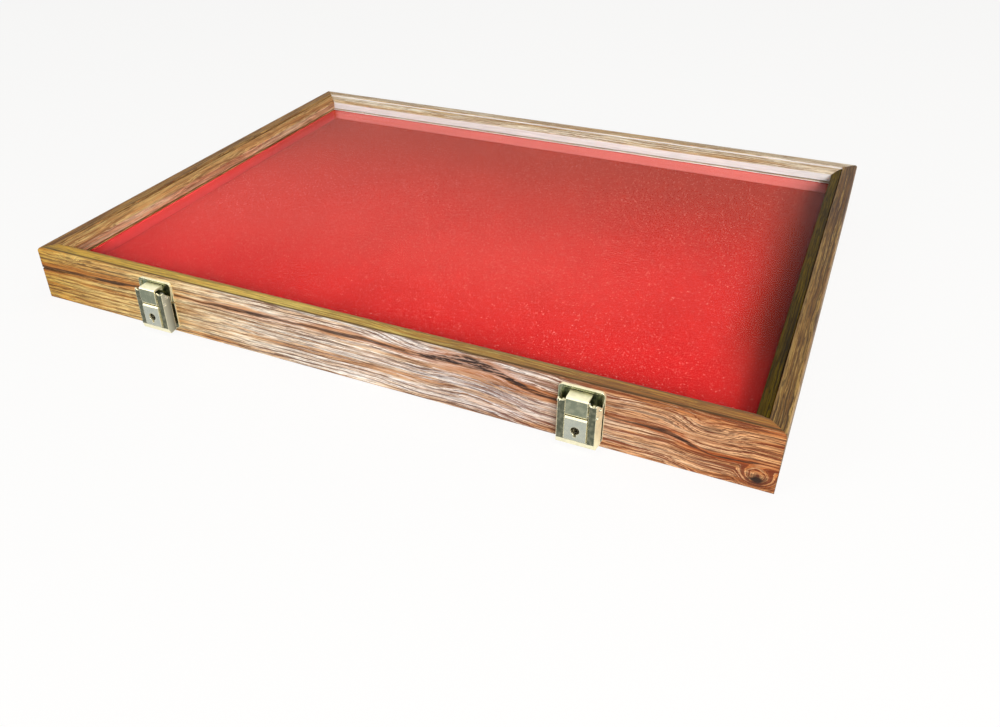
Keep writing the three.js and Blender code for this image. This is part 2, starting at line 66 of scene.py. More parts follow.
class Graph:
    """The node tree of a material or of the world, with short ways to make and link nodes."""

    def __init__(self, owner, output="OutputMaterial"):
        self.owner = owner
        owner.use_nodes = True
        self.tree = owner.node_tree
        self.tree.nodes.clear()
        self.output = self.node(output)

    def put(self, socket, value):
        """Links another node's socket to this one, or sets this one's number or colour."""
        if isinstance(value, bpy.types.NodeSocket):
            self.tree.links.new(value, socket)
        elif isinstance(value, (tuple, list)) and len(value) == 3 and socket.type == "RGBA":
            socket.default_value = (*value, 1)
        else:
            socket.default_value = value

    def node(self, kind, settings=None, **inputs):
        """A new node. Its inputs are named with _ for a space, or numbered, as i0 and i1."""
        made = self.tree.nodes.new("ShaderNode" + kind)
        for key, value in (settings or {}).items():
            setattr(made, key, value)
        for key, value in inputs.items():
            numbered = key[0] == "i" and key[1:].isdigit()
            self.put(made.inputs[int(key[1:]) if numbered else key.replace("_", " ")], value)
        return made

    def math(self, operation, *values, clamp=False):
        made = self.node("Math", {"operation": operation, "use_clamp": clamp})
        for socket, value in zip(made.inputs, values):
            self.put(socket, value)
        return made.outputs[0]

    def plus(self, total, *values):
        for value in values:
            total = self.math("ADD", total, value)
        return total

    def minus(self, first, second):
        return self.math("SUBTRACT", first, second)

    def times(self, product, *values):
        for value in values:
            product = self.math("MULTIPLY", product, value)
        return product

    def place(self):
        return self.node("TexCoord").outputs["Object"]

    def normal(self):
        """The surface's own direction in the part's frame, before any bump: x, y and z."""
        return self.split(self.node("TexCoord").outputs["Normal"])

    def split(self, vector):
        return self.node("SeparateXYZ", Vector=vector).outputs

    def joined(self, x, y, z):
        return self.node("CombineXYZ", X=x, Y=y, Z=z).outputs[0]

    def noise(self, vector, scale, offset=(0, 0, 0), detail=3.0, roughness=0.5):
        """Noise with so many cells to the metre along each axis."""
        scaled = self.node("Mapping", Vector=vector, Scale=scale, Location=offset).outputs[0]
        made = self.node("TexNoise", Vector=scaled, Scale=1.0, Detail=detail, Roughness=roughness)
        return made.outputs["Fac"]

    def span(self, value, low, high, to_low=0.0, to_high=1.0):
        """value from low to high, eased and clamped, becomes to_low to to_high."""
        made = self.node("MapRange", {"interpolation_type": "SMOOTHSTEP"})
        for socket, number in zip(made.inputs, (value, low, high, to_low, to_high)):
            self.put(socket, number)
        return made.outputs[0]

    def ramp(self, value, *stops, curve="LINEAR"):
        made = self.node("ValToRGB", Fac=value)
        band = made.color_ramp
        band.interpolation = curve
        while len(band.elements) < len(stops):
            band.elements.new(0.5)
        for element, (position, colour) in zip(band.elements, stops):
            element.position = position
            element.color = (*colour, 1)
        return made.outputs["Color"]

    def mix(self, amount, first, second, blend="MIX"):
        made = self.node("Mix", {"data_type": "RGBA", "blend_type": blend})
        self.put(made.inputs["Factor"], amount)
        self.put(made.inputs[6], first)
        self.put(made.inputs[7], second)
        return made.outputs[2]

    def spot(self, vector, centre, reach):
        """1 at centre, falling to 0 at an ellipsoid of that reach round it."""
        squares = []
        for part, middle, size in zip(self.split(vector), centre, reach):
            away = self.math("DIVIDE", self.minus(part, middle), size)
            squares.append(self.times(away, away))
        return self.math("SUBTRACT", 1.0, self.plus(*squares), clamp=True)

    def bump(self, height, distance, strength, normal=None):
        made = self.node("Bump", Height=height, Distance=distance, Strength=strength)
        if normal is not None:
            self.put(made.inputs["Normal"], normal)
        return made.outputs[0]

    def soft_edges(self, radius):
        return self.node("Bevel", {"samples": 4}, Radius=radius).outputs[0]

    def seen_directly(self):
        """1 for what the camera sees by itself, in a mirror or through glass, and 0 for the
        light that a matt surface gathers."""
        path = self.node("LightPath").outputs
        seen = self.math("MAXIMUM", path["Is Camera Ray"], path["Is Glossy Ray"])
        seen = self.math("MAXIMUM", seen, path["Is Transmission Ray"])
        return self.times(seen, self.math("LESS_THAN", path["Diffuse Depth"], 0.5))

    def show(self, shader):
        self.tree.links.new(shader.outputs[0], self.output.inputs["Surface"])

    def finish(self, **inputs):
        self.show(self.node("BsdfPrincipled", **inputs))
        return self.owner


def new_material(name):
    return Graph(bpy.data.materials.new(name))


def srgb(red, green, blue):
    """An 8-bit display colour as linear light."""
    return tuple(
        value / 12.92 if value <= 0.04045 else ((value + 0.055) / 1.055) ** 2.4
        for value in (red / 255, green / 255, blue / 255)
    )


# Growth rings to the metre across the grain, and thin lines to the ring
RINGS = 400.0
THIN_LINES = 3.1
# How the rings lean from front to back, and how far in metres three noises bend them.
# The front's rings wave less at its left than at its right.
RING_LEAN = 1.3
SLOW_BEND, WAVE_BEND, FINE_BEND = 0.014, 0.0045, 0.0016
CALM_BEND = 0.0024
# How far in metres the vein and the marks wander up and down
WANDER = 0.004
# What stands for 1 in the vein's ramp, and how far the rings follow the vein
VEIN_UP, VEIN_HALF = 0.035, 0.004
VEIN_PULL = 0.75
# Where along the front the vein swells into a burl with light threads in it
BURL = 0.065
# How far behind the front face its rounded top edge ends, and the heights over which the dark
# line there darkens
ARRIS = 0.0021
ARRIS_LINE_RISE = (SEAM, 0.0341)
# Where along the front the painted shade on its top rim turns from yellow to brown
RIM_TURN = (-0.08, 0.12)

VEIN_HALO, VEIN_CORE = srgb(196, 122, 66), srgb(30, 18, 18)
RUST, KNOT, MARK, ARRIS_LINE = srgb(116, 58, 32), srgb(44, 22, 12), srgb(38, 24, 14), srgb(66, 48, 20)
# The painted shade on the front's top rim, at its left and at its right
RIM_SHADE_LEFT, RIM_SHADE_RIGHT = srgb(226, 192, 96), srgb(150, 112, 72)
# Painted light on the faces that look to the front
LIP_LIGHT = srgb(246, 246, 248)


def share_of_width(g, along):
    """0 at the case's left end and 1 at its right one."""
    return g.plus(g.times(along, 1 / WIDTH), 0.5)


def ring_lines(g, height, patches):
    """Where in its year each place lies, and the dark lines that the rings draw there."""
    year = g.math("FRACT", g.times(height, RINGS))
    shades = ((0.0, 0.3), (0.2, 0.0), (0.55, 0.1), (0.82, 1.0), (0.94, 0.9), (1.0, 0.3))
    latewood = g.ramp(year, *((stop, (shade,) * 3) for stop, shade in shades))
    thick = g.times(latewood, g.span(patches, 0.36, 0.58, 0.25, 1.0))
    between = g.math("FRACT", g.times(height, THIN_LINES * RINGS))
    thin = g.times(g.span(between, 0.5, 0.85), g.span(patches, 0.38, 0.54, 0.1, 0.8))
    return year, g.math("MAXIMUM", thick, thin)


def wood_ground(g, moved, ringwise, fibre, light, middle, deep):
    """The wood between the lines: broad tones, streaks along the rings, and fibres."""
    tone = g.noise(moved, (7, 150, 150), (11, 3, 5), detail=4, roughness=0.65)
    ground = g.ramp(tone, (0.38, deep), (0.46, middle), (0.53, light), (0.66, middle), (0.74, light))
    streak = g.noise(ringwise, (13, 700, 700), (4, 6, 1), detail=4, roughness=0.62)
    ground = g.mix(g.span(streak, 0.51, 0.58, 0.0, 0.45), ground, deep)
    ground = g.mix(g.span(streak, 0.40, 0.49, 0.9, 0.0), ground, light)
    return g.mix(g.span(fibre, 0.49, 0.6, 0.0, 0.5), ground, deep)


def vein_course(g, along, vein):
    """How high the vein lies at each place along the front, half its height and its darkness."""
    stops = ((at / WIDTH + 0.5, (up / VEIN_UP, half / VEIN_HALF, dark)) for at, up, half, dark in vein)
    up, half, darkness = g.split(g.ramp(share_of_width(g, along), *stops, curve="CARDINAL"))
    return g.times(up, VEIN_UP), g.times(half, VEIN_HALF), darkness


def with_vein(g, colour, plain, along, through, up, course):
    """Draws the front's vein, a soft halo and a dark core, along its course."""
    middle, half, darkness = course
    reach = g.math("DIVIDE", g.math("ABSOLUTE", g.minus(up, middle)), half)
    on_face = g.span(through, FRONT + 0.0004, FRONT + 0.0010, 1.0, 0.0)
    halo = g.times(g.span(reach, 1.0, 4.0, 0.6, 0.0), on_face, darkness)
    colour = g.mix(halo, colour, VEIN_HALO)
    woven = g.noise(plain, (90, 700, 1100), (5, 2, 8), roughness=0.7)
    from_burl = g.math("ABSOLUTE", g.minus(along, BURL))
    threads = g.span(woven, 0.42, 0.52, g.span(from_burl, 0.025, 0.05, 0.25, 0.75), 1.0)
    core = g.times(g.span(reach, 0.7, 1.4, 1.0, 0.0), on_face, threads, darkness)
    return g.mix(core, colour, VEIN_CORE)


def with_rim_shade(g, colour, along, topside):
    """Paints shade on the front's top rim, yellow at the left and a stronger brown at the right."""
    rim = g.mix(g.span(along, *RIM_TURN), RIM_SHADE_LEFT, RIM_SHADE_RIGHT)
    share = g.span(along, *RIM_TURN, 0.3, 0.45)
    return g.mix(g.times(topside, share), colour, rim)


def with_dark_arris_line(g, colour, through, z):
    """A dark line along the lid, where the front's rounded top edge ends."""
    away = g.math("ABSOLUTE", g.minus(through, FRONT + ARRIS))
    on_lid = g.span(z, *ARRIS_LINE_RISE)
    return g.mix(g.times(g.span(away, 0.0003, 0.0009, 0.85, 0.0), on_lid), colour, ARRIS_LINE)


def oak(name, turned, shift, palette, front=None, lip_light=False, gloss=0.2):
    """Flat-sawn oak with its grain along a rail: X, or Y where the rail is turned. The rings are
    contour lines of a height. front holds what only the front rail has: its marks, figures,
    tint with painted light along it, and vein. The lip flag whitens the faces that look to the front, a
    painted light. Faces that look up take a painted shade."""
    light, middle, deep, line_colour, up_face_shade = (srgb(*rgb) for rgb in palette)
    g = new_material(name)
    x, y, z = g.split(g.place())
    along, through = (y, x) if turned else (x, y)
    plain = g.joined(along, through, z)
    moved = g.node("Mapping", Vector=plain, Location=shift).outputs[0]
    slow = g.noise(moved, (5, 26, 26), detail=1)
    waves = g.noise(moved, (30, 110, 110), (3, 1, 7), detail=2)
    fine = g.noise(moved, (95, 900, 900), roughness=0.6)
    a, t, u = g.split(moved)
    wave_bend = g.span(along, -0.02, 0.12, CALM_BEND, WAVE_BEND) if front else WAVE_BEND
    bends = (g.times(slow, SLOW_BEND), g.times(waves, wave_bend), g.times(fine, FINE_BEND))
    height = g.plus(u, g.times(t, RING_LEAN), *bends)
    if front:
        course = vein_course(g, along, front["vein"])
        height = g.minus(height, g.times(course[0], VEIN_PULL))
        knots = 0.0
        for centre, reach, lift, darkness in front["figures"]:
            swell = g.spot(plain, centre, reach)
            height = g.plus(height, g.times(swell, swell, lift))
            knots = g.math("MAXIMUM", knots, g.span(swell, 0.93, 0.985, 0.0, darkness))
    patches = g.noise(moved, (22, 210, 210), (2, 5, 9), roughness=0.6)
    year, line = ring_lines(g, height, patches)
    ringwise = g.joined(a, t, height)
    fibre = g.noise(moved, (70, 1500, 1500), detail=4, roughness=0.75)
    ground = wood_ground(g, moved, ringwise, fibre, light, middle, deep)
    colour = g.mix(g.times(line, 0.9), ground, line_colour)
    pores = g.noise(moved, (100, 2600, 2600), detail=2)
    pore = g.times(g.span(pores, 0.54, 0.60), g.span(year, 0.0, 0.5, 1.0, 0.5))
    colour = g.mix(g.times(pore, 0.85), colour, line_colour)
    topside = g.span(g.normal()[2], 0.3, 0.9)
    wander = g.noise(plain, (35, 190, 190))
    bent_up = g.plus(z, g.times(g.minus(wander, 0.5), WANDER))
    if front:
        rust = g.noise(ringwise, (12, 950, 950), (1, 8, 3), roughness=0.6)
        reddened = g.times(g.span(rust, 0.52, 0.57), g.span(along, 0.0, 0.14, 0.0, 0.85))
        colour = g.mix(reddened, colour, RUST)
        colour = with_vein(g, colour, plain, along, through, bent_up, course)
        # Partly the wood's own tint and partly painted light, brightest in the middle of the front
        shade = g.ramp(share_of_width(g, along), *front["tint_and_light"])
        colour = g.mix(1.0, colour, shade, "MULTIPLY")
        # The painted top shade starts behind the rounded edge, which stays lit
        topside = g.times(topside, g.span(through, FRONT + 0.0014, FRONT + ARRIS))
    # Painted shade: faces that look up are tinted darker and yellower
    colour = g.mix(topside, colour, g.mix(1.0, colour, up_face_shade, "MULTIPLY"))
    # Painted light: faces that look to the front are whitened
    if lip_light:
        colour = g.mix(g.span(g.normal()[1], -0.99, -0.9, 0.8, 0.0), colour, LIP_LIGHT)
    if front:
        colour = with_rim_shade(g, colour, along, topside)
        colour = g.mix(knots, colour, KNOT)
        colour = with_dark_arris_line(g, colour, through, z)
        bent = g.joined(along, through, bent_up)
        for centre, reach, darkness in front["marks"]:
            streaky = g.times(
                g.span(g.spot(bent, centre, reach), 0.0, 0.6),
                g.span(fine, 0.34, 0.56, 1.0, 0.45),
            )
            colour = g.mix(g.times(streaky, darkness), colour, MARK)
    relief = g.plus(g.times(pore, -1.0), g.times(line, -0.4))
    surface = g.bump(relief, 0.00015, 0.7, g.soft_edges(0.0003))
    rough = g.plus(0.42, g.times(fibre, 0.2))
    return g.finish(Base_Color=colour, Roughness=rough, Normal=surface, Specular_IOR_Level=gloss)


def hardboard():
    """Brown board with flecks of fibre and faint clouds."""
    g = new_material("hardboard")
    place = g.place()
    flecks = g.noise(place, (900, 900, 900), detail=4, roughness=0.7)
    clouds = g.noise(place, (30, 30, 30), detail=2)
    tones = ((0.3, srgb(96, 66, 40)), (0.55, srgb(134, 97, 62)), (0.75, srgb(158, 120, 82)))
    colour = g.mix(g.span(clouds, 0.4, 0.6, 0, 0.25), g.ramp(flecks, *tones), srgb(104, 74, 48))
    return g.finish(Base_Color=colour, Roughness=0.75, Normal=g.bump(flecks, 0.0001, 0.6))


# The lint on the velvet: cells to the metre, the share of cells without a speck, and a speck's
# radius in cells
LINT = ((330.0, 0.86, 0.13), (640.0, 0.74, 0.18))
# Between which y the specks grow towards the back, and between which they get fainter
LINT_GROWS_Y, LINT_FADES_Y = (-0.10, 0.10), (-0.08, 0.12)


def lint(g, place):
    """Ragged specks, one in some of a net's cells, and larger towards the back."""
    x, y, z = g.split(place)
    ragged = g.times(g.minus(g.noise(place, (2600, 2600, 2600)), 0.5), 0.0011)
    scattered = g.joined(g.plus(x, ragged), g.minus(y, g.times(ragged, 0.6)), z)
    larger = g.span(y, *LINT_GROWS_Y, 1.0, 1.5)
    specks = 0.0
    for scale, bare, size in LINT:
        kind = {"feature": "F1", "voronoi_dimensions": "2D"}
        cells = g.node("TexVoronoi", kind, Vector=scattered, Scale=scale).outputs
        chosen = g.span(g.split(cells["Color"])[0], bare, bare + 0.15)
        away = g.math("DIVIDE", cells["Distance"], larger)
        speck = g.times(g.span(away, 0.5 * size, size, 1.0, 0.0), chosen)
        specks = g.math("MAXIMUM", specks, speck)
    return specks


# The velvet's reds: three brushed ones, then the shade in the nap and in the pile
BRUSHED_REDS = (srgb(204, 40, 38), srgb(214, 44, 42), srgb(220, 48, 46))
NAP_SHADE, PILE_SHADE = srgb(190, 14, 18), srgb(158, 8, 12)
# Between which x and which y its painted-in shading changes, and that shading's colours: a pale
# painted reflection of the glass away from the front, a browner painted shade at the back, a dark band of
# painted shadow from the right rail, and two walls painted paler as lit
GLASS_REFLECTION_X, GLASS_REFLECTION_Y = (0.02, 0.15), (-0.13, -0.03)
BACK_SHADE_Y = (-0.04, 0.14)
RAIL_SHADOW_X, RAIL_SHADOW_Y = (0.155, 0.180), (-0.12, -0.04)
GLASS_REFLECTION, BACK_SHADE, RAIL_SHADOW = srgb(222, 106, 92), srgb(148, 50, 28), srgb(100, 30, 12)
BACK_WALL_LIGHT, LEFT_WALL_LIGHT = srgb(212, 124, 120), srgb(204, 76, 80)
PALE_LINT = srgb(255, 190, 178)


def velvet():
    """Cotton velvet: a short pile with brushed patches, a sheen and specks of pale lint. Its
    browner back is painted shade, its dark band at the right a painted shadow of the right rail and its
    paler walls painted light, as the photograph has them."""
    g = new_material("velvet")
    place = g.place()
    x, y, _ = g.split(place)
    pile = g.noise(place, (2400, 2400, 2400), detail=2, roughness=0.7)
    brushed = g.noise(place, (14, 9, 9))
    nap = g.noise(place, (700, 520, 520), detail=4, roughness=0.7)
    colour = g.ramp(brushed, *zip((0.32, 0.5, 0.7), BRUSHED_REDS))
    colour = g.mix(g.span(nap, 0.38, 0.64, 0.0, 0.45), colour, NAP_SHADE)
    colour = g.mix(g.span(pile, 0.35, 0.7, 0.35, 0.0), colour, PILE_SHADE)
    # Painted reflection: a pale haze of the glass that grows away from the front and fades to the right
    glass_reflection = g.times(g.span(y, *GLASS_REFLECTION_Y, 0.0, 0.22), g.span(x, *GLASS_REFLECTION_X, 1.0, 0.3))
    colour = g.mix(glass_reflection, colour, GLASS_REFLECTION)
    # Painted shade: darker and browner towards the back
    colour = g.mix(g.span(y, *BACK_SHADE_Y, 0.0, 0.75), colour, BACK_SHADE)
    across, back, up = g.normal()
    shown = g.times(g.span(up, 0.8, 0.95), g.span(y, *LINT_FADES_Y, 0.65, 0.35))
    colour = g.mix(g.times(lint(g, place), shown), colour, PALE_LINT)
    # Painted shadow: the right rail's shadow, a dark band along the right
    band = g.times(g.span(x, *RAIL_SHADOW_X), g.span(y, *RAIL_SHADOW_Y, 0.1, 0.72))
    colour = g.mix(band, colour, RAIL_SHADOW)
    # Painted light: the back wall and the left wall, which face the light, are paler
    colour = g.mix(g.span(back, -0.95, -0.7, 0.55, 0.0), colour, BACK_WALL_LIGHT)
    colour = g.mix(g.span(across, 0.7, 0.95, 0.0, 0.5), colour, LEFT_WALL_LIGHT)
    height = g.plus(pile, g.times(nap, 1.6))
    return g.finish(
        Base_Color=colour,
        Roughness=0.9,
        Normal=g.bump(height, 0.00025, 0.6),
        Specular_IOR_Level=0.03,
        Sheen_Weight=0.08,
        Sheen_Roughness=0.35,
        Sheen_Tint=(0.9, 0.16, 0.16, 1),
    )


# The plating painted as lit, the painted dark reflection on its fronts, the near end of a lever's side
# painted as lit, and the bare polish
LIT_PLATING, DARK_FRONT_REFLECTION, SIDE_FRONT = srgb(255, 248, 212), srgb(92, 96, 80), srgb(186, 184, 164)
POLISH = 0.16
# How far in front of the case a lever's side starts and ends
SIDE_REACH = (0.0075, 0.001)


def plated(name, lit_colour=LIT_PLATING, front_reflection_colour=DARK_FRONT_REFLECTION, rough=POLISH, flank_shade=None):
    """Plated steel: faces to the front brushed and painted with a dark reflection, the rest
    painted as lit, both with patches of wear and tarnish, and all edges with a painted highlight.
    flank is a painted shade: the colour at the rear of the faces that look to the right, where it differs."""
    g = new_material(name)
    place = g.place()
    rolled = g.noise(place, (2600, 2600, 120), roughness=0.6)
    patches = g.noise(place, (420, 420, 420), detail=4)
    scratches = g.noise(place, (6000, 900, 300), detail=2, roughness=0.7)
    rounded = g.soft_edges(0.00045)
    flat = g.node("NewGeometry").outputs["Normal"]
    facing = g.node("VectorMath", {"operation": "DOT_PRODUCT"}, i0=rounded, i1=flat).outputs["Value"]
    edge = g.span(facing, 0.90, 0.992, 1.0, 0.0)
    across, back, up = g.normal()
    front = g.span(back, -0.99, -0.96, 1.0, 0.0)
    upward = g.span(up, 0.5, 0.9)
    rightward = g.span(across, 0.7, 0.9)
    # Painted reflection: faces to the front take the dark colour and the rest the lit one, each with
    # patches of wear and tarnish
    reflected_front_and_wear = g.mix(g.span(patches, 0.42, 0.66, 0.0, 0.12), front_reflection_colour, lit_colour)
    lit_and_tarnished = g.mix(g.span(patches, 0.35, 0.6, 0.12, 0.0), lit_colour, front_reflection_colour)
    base = g.mix(front, lit_and_tarnished, reflected_front_and_wear)
    if flank_shade:
        # Painted shade: the side darkens from its near end towards the case
        rearward = g.span(g.split(place)[1], *(FRONT - reach for reach in SIDE_REACH))
        base = g.mix(rightward, base, g.mix(rearward, SIDE_FRONT, flank_shade))
    # Painted highlight: every edge takes the lit colour
    base = g.mix(edge, base, lit_colour)
    satin = g.plus(0.2, g.plus(g.times(upward, 0.1), g.times(rightward, 0.2)))
    satin = g.times(g.minus(1.0, front), satin)
    roughness = g.plus(rough, g.times(front, rolled, 0.2), satin)
    height = g.plus(rolled, g.times(scratches, 0.5))
    surface = g.bump(height, 0.00002, 0.3, g.soft_edges(0.0003))
    return g.finish(Base_Color=base, Metallic=1.0, Roughness=roughness, Normal=surface)


def glass():
    """Thin picture glass with a weak reflection, slightly smeared."""
    g = new_material("glass")
    smears = g.noise(g.place(), (60, 60, 60), detail=4)
    rough = g.span(smears, 0.45, 0.7, 0.0, 0.008)
    tint = g.mix(smears, (0.97, 0.99, 0.98), (0.95, 0.97, 0.96))
    return g.finish(Base_Color=tint, Roughness=rough, IOR=1.06, Transmission_Weight=1.0)


def dress(names, material):
    for name in names:
        mesh = nodes[name].data
        mesh.materials.clear()
        mesh.materials.append(material)


def dress_latches(part, material):
    dress([f"{side}_{part}" for side in SIDES], material)


front_rail = {
    # Dark streaks and specks: centre and reach in (along, through, up) metres, and darkness
    "marks": (
        ((0.1740, FRONT, 0.0250), (0.0050, 0.02, 0.0016), 0.6),
        ((0.1860, FRONT, 0.0105), (0.0030, 0.02, 0.0012), 0.5),
        ((0.1953, FRONT, 0.0052), (0.0048, 0.02, 0.0036), 0.7),
        ((-0.1803, FRONT, 0.0299), (0.0050, 0.02, 0.0006), 0.5),
    ),
    # Where the rings close round a knot or a burl: centre, reach, how far the rings are
    # lifted, and the darkness of the knot in the middle
    "figures": (
        ((0.1953, FRONT, 0.0052), (0.0115, 0.05, 0.0085), 0.010, 1.0),
        ((0.1720, FRONT, 0.0235), (0.0220, 0.05, 0.0070), 0.0028, 0.0),
        ((-0.1803, FRONT, 0.0299), (0.0100, 0.05, 0.0030), 0.005, 0.4),
        ((0.0500, FRONT, 0.0300), (0.0500, 0.05, 0.0080), 0.008, 0.0),
    ),
    # The shift in tint from the left end to the right one, partly the wood's own and partly painted light,
    # brightest in the middle
    "tint_and_light": (
        (0.0, srgb(216, 180, 86)),
        (0.2, srgb(244, 222, 162)),
        (0.36, srgb(250, 244, 232)),
        (0.51, srgb(255, 255, 255)),
        (0.69, srgb(240, 238, 242)),
        (0.85, srgb(236, 204, 172)),
        (1.0, srgb(220, 164, 112)),
    ),
    # The dark vein that runs from end to end: along, up, half its height, darkness
    "vein": (
        (-0.2030, 0.0190, 0.0015, 0.80),
        (-0.1860, 0.0200, 0.0013, 0.80),
        (-0.1700, 0.0205, 0.0009, 0.85),
        (-0.1500, 0.0212, 0.0008, 0.90),
        (-0.1340, 0.0222, 0.0007, 0.90),
        (-0.1050, 0.0231, 0.0006, 0.85),
        (-0.0820, 0.0236, 0.0006, 0.80),
        (-0.0600, 0.0240, 0.0009, 0.90),
        (-0.0450, 0.0245, 0.0007, 0.80),
        (-0.0300, 0.0247, 0.0006, 0.75),
        (-0.0050, 0.0254, 0.0010, 0.85),
        (0.0120, 0.0260, 0.0008, 0.80),
        (0.0290, 0.0252, 0.0009, 0.90),
        (0.0430, 0.0254, 0.0012, 0.95),
        (0.0560, 0.0272, 0.0026, 0.95),
        (0.0680, 0.0276, 0.0026, 0.95),
        (0.0790, 0.0258, 0.0016, 0.95),
        (0.0880, 0.0228, 0.0013, 0.95),
        (0.0960, 0.0207, 0.0011, 0.90),
        (0.1060, 0.0198, 0.0010, 0.85),
        (0.1300, 0.0182, 0.0005, 0.70),
        (0.1480, 0.0181, 0.0008, 0.85),
        (0.1570, 0.0175, 0.0011, 0.95),
        (0.1650, 0.0148, 0.0010, 0.95),
        (0.1710, 0.0131, 0.0004, 0.70),
        (0.1790, 0.0127, 0.0004, 0.85),
        (0.1900, 0.0137, 0.0005, 0.90),
        (0.1980, 0.0143, 0.0003, 0.60),
    ),
}
# Light, middle and deep wood, the ring lines, and the painted shade that tints the faces that look up
honey = ((255, 252, 246), (244, 222, 192), (206, 158, 116), (80, 40, 20), (255, 242, 146))
ash = ((255, 252, 244), (246, 230, 200), (212, 178, 134), (136, 98, 62), (250, 246, 236))
tan = ((216, 176, 120), (186, 138, 86), (142, 96, 54), (70, 40, 16), (222, 210, 166))
rosy_lit = ((255, 230, 192), (255, 206, 164), (226, 168, 126), (146, 94, 66), (222, 210, 166))
brown = ((206, 172, 124), (170, 130, 86), (126, 88, 50), (62, 38, 18), (222, 216, 176))
olive_shade = ((134, 112, 28), (98, 78, 12), (60, 46, 6), (28, 18, 2), (225, 220, 110))
rails = {
    "front": oak("oak_front", False, (0, 0, 0), honey, front=front_rail),
    "back": oak("oak_back", False, (0.9, 0.31, 0.2), ash, lip_light=True),
    "left": oak("oak_left", True, (0.4, 0.77, 0.5), tan),
    "right": oak("oak_right", True, (1.7, 0.13, 0.8), brown),
}
# The left stop's paler rosy oak is painted light, and the right stop's dark olive oak painted shade
stops = {
    "front": rails["front"],
    "back": rails["back"],
    "left": oak("oak_left_stop", True, (1.1, 0.4, 0.9), rosy_lit),
    "right": oak("oak_right_stop", True, (0.2, 0.5, 0.3), olive_shade, gloss=0.05),
}
for side, material in rails.items():
    dress([f"tray_{side}_rail", f"lid_{side}_rail"], material)
    dress([f"{side}_glass_stop"], stops[side])
dress(["tray_bottom"], hardboard())
dress(["glass_pane"], glass())
nodes["glass_pane"].visible_shadow = False

slots = {entry["node"]: entry["material_slot"] for entry in frame["record"]["subparts"]}
metals = {"nickel": plated("nickel"), "steel": plated("steel", srgb(206, 204, 194), srgb(92, 92, 86), 0.26)}
for slot, metal in metals.items():
    dress([name for name, given in slots.items() if given == slot], metal)
# Painted reflection: each latch part's front faces get their own dark colour
dress_latches("latch_tongue", plated("latch_tongue", front_reflection_colour=srgb(132, 138, 118)))
dress_latches("lock_case", plated("lock_case", front_reflection_colour=srgb(182, 186, 174)))
dress_latches("strike_plate", plated("strike_plate", front_reflection_colour=srgb(112, 122, 98)))
# Painted shade: the cam in the keyhole is dark, as the hole lies in shade
dress_latches("lock_cam", plated("lock_cam", srgb(120, 116, 100), srgb(34, 32, 26)))
# Painted shade at the rear of the left lever's right-facing side
dress(["left_latch_lever"], plated("left_lever", flank_shade=srgb(84, 84, 70)))


# The velvet pad's faces across and back, its edge's radius and steps, and its foot's height
PAD_COLUMNS, PAD_ROWS = 190, 140
PAD_EDGE = 0.0032
PAD_EDGE_STEPS = 6
PAD_FOOT = 0.0034
# The pad's crown over its edge and its ripple, and how far all velvet stays below the solids' tops
PAD_CROWN = 0.0008
PAD_RIPPLE = 0.00012
VELVET_SINK = 0.0001
# The lining's steps along each wall, its rows up the face and turns over the top, and its ripple
LINER_STEPS = 40
LINER_ROWS = 4
LINER_TURNS = 5
LINER_RIPPLE = 0.00006
# Ripples to the metre: the pad's wide and narrow ones, and the lining's along and up the walls
WIDE_RIPPLES, NARROW_RIPPLES = 26, 70
LINER_RIPPLES, LINER_RIPPLES_UP = 60, 400


def smooth_piece(name, points, faces, cloth):
    mesh = bpy.data.meshes.new(name)
    mesh.from_pydata(points, [], faces)
    mesh.validate()
    mesh.polygons.foreach_set("use_smooth", [True] * len(mesh.polygons))
    mesh.materials.append(cloth)
    made = bpy.data.objects.new(name, mesh)
    bpy.context.scene.collection.objects.link(made)
    return made


